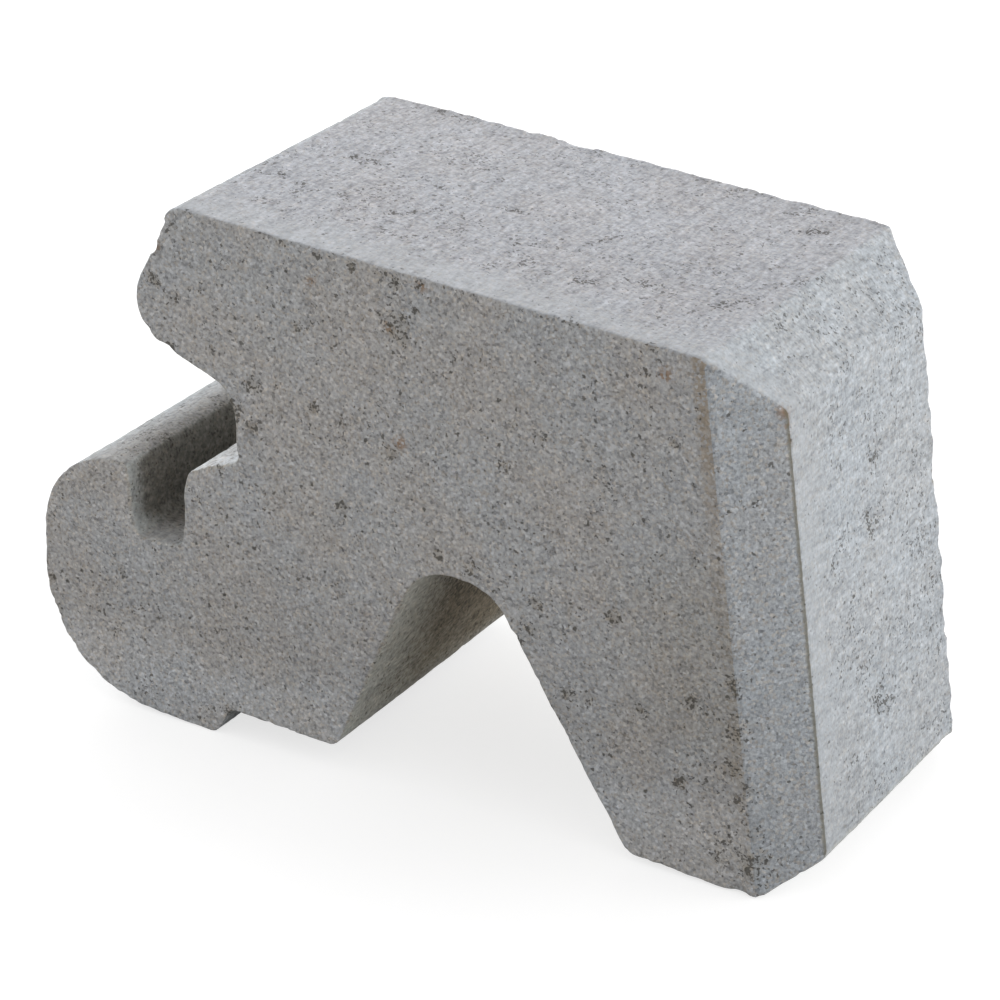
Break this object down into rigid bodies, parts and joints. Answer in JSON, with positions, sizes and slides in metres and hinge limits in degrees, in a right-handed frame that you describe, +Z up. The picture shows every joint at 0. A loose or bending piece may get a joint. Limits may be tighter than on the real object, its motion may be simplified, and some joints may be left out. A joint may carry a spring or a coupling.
{
  "type": "retaining wall block",
  "caption": "Cast concrete retaining wall block with a leaning bevelled face, a rear nose, an open groove behind a rounded lip, a hooking lug and a notched underside.",
  "frame": {"origin": "middle of the bounding box's bottom, on the level floor that the block stands on by its lug and its toe", "axes": "+X towards the bevelled front face, +Y along the wall, across the width of the block, +Z up; the bearing planes are tipped 3.1 degrees down to the front, as the block stands unheld"},
  "size_m": [0.4647, 0.2, 0.3008],
  "materials": {
    "concrete": "matte dry-cast concrete, light grey, granular and pitted"
  },
  "bodies": {
    "root": {"block": "concrete"}
  },
  "joints": []
}
